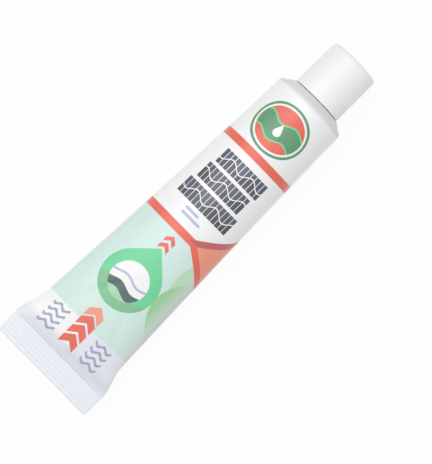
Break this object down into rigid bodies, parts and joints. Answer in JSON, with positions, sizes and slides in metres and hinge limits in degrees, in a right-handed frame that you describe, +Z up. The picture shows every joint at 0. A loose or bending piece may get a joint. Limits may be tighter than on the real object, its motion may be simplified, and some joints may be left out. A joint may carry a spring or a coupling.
{
  "type": "water finding paste tube",
  "caption": "Full plastic squeeze tube of paste with a flat sealed end, a sloping shoulder and a screw cap that turns and lifts off.",
  "frame": {"origin": "on the table under the middle of the tube's whole length", "axes": "+X along the tube towards the cap, +Z up, with the printed side up"},
  "size_m": [0.1708, 0.0476, 0.032],
  "materials": {
    "sleeve": "satin",
    "head": "satin",
    "cap": "satin",
    "liner": "matte",
    "foil": "satin",
    "paste": "satin"
  },
  "bodies": {
    "tube": {"sleeve": "sleeve", "shoulder_neck": "head", "foil_seal": "foil", "paste": "paste"},
    "liner": {"cap_liner": "liner"},
    "cap": {"screw_cap": "cap"}
  },
  "joints": [
    {"name": "cap_lift", "type": "slide", "parent": "tube", "child": "liner", "axis": [1, 0, 0], "range_m": [0, 0.0101]},
    {"name": "cap_turn", "type": "hinge", "parent": "liner", "child": "cap", "pos_m": [0.065, 0, 0.016], "axis": [1, 0, 0], "range_deg": [0, 1440]}
  ],
  "couplings": [
    {"joint": "cap_lift", "follows": "cap_turn", "m_per_rad": 0.00039789}
  ]
}
